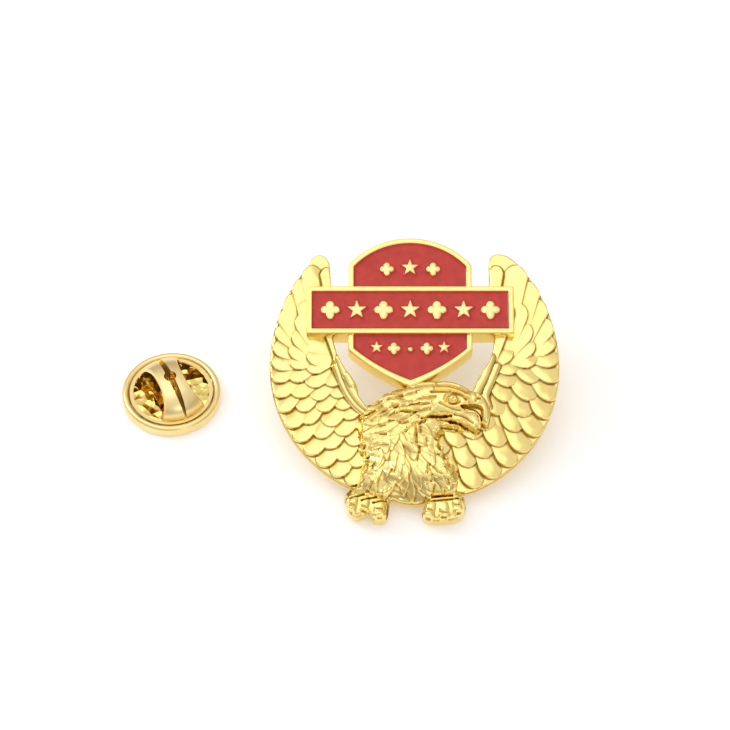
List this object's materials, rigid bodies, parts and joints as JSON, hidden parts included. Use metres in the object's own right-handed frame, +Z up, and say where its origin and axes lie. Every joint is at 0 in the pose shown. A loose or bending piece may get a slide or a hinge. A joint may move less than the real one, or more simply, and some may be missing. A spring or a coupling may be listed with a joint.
{
  "type": "eagle lapel pin with butterfly clutch",
  "caption": "Gold eagle lapel pin with raised wings, a red enamel crest and banner, a nail post on the back, and a loose squeeze butterfly clutch.",
  "frame": {"origin": "middle of the whole layout's box, on the table under it", "axes": "+X from the clutch to the badge and to the badge's right, +Y from the eagle's feet to its wing tips along the table, +Z up"},
  "size_m": [0.0512, 0.033, 0.013],
  "materials": {
    "gold_casting": "polished gold plate on a zinc casting",
    "red_enamel": "glossy soft enamel in recessed fields",
    "gold_post": "polished gold plate",
    "solder": "plated solder, slightly lumpy",
    "gold_sheet": "satin gold plate on sheet brass",
    "gold_wing": "satin gold plate outside, brighter inside",
    "brass_jaw": "bright stamped brass"
  },
  "bodies": {
    "badge": {"badge_casting": "gold_casting", "enamel_top": "red_enamel", "enamel_banner": "red_enamel", "enamel_bottom": "red_enamel", "nail_post": "gold_post", "solder_collar": "solder"},
    "clutch": {"clutch_cup": "gold_sheet", "spring_plate": "gold_sheet"},
    "left_wing": {"left_squeeze_wing": "gold_wing", "left_jaw": "brass_jaw"},
    "right_wing": {"right_squeeze_wing": "gold_wing", "right_jaw": "brass_jaw"}
  },
  "joints": [
    {"name": "clutch_lift", "type": "slide", "parent": "badge", "child": "clutch", "axis": [0, 0, 1], "range_m": [0, 0.03]},
    {"name": "left_squeeze", "type": "hinge", "parent": "clutch", "child": "left_wing", "pos_m": [-0.01985, 0.00201, 0.0014], "axis": [-0.4226, 0.9063, 0], "range_deg": [0, 5]},
    {"name": "right_squeeze", "type": "hinge", "parent": "clutch", "child": "right_wing", "pos_m": [-0.0197, 0.00208, 0.0014], "axis": [0.4226, -0.9063, 0], "range_deg": [0, 5]}
  ],
  "couplings": [
    {"joint": "right_squeeze", "follows": "left_squeeze", "ratio": 1}
  ]
}
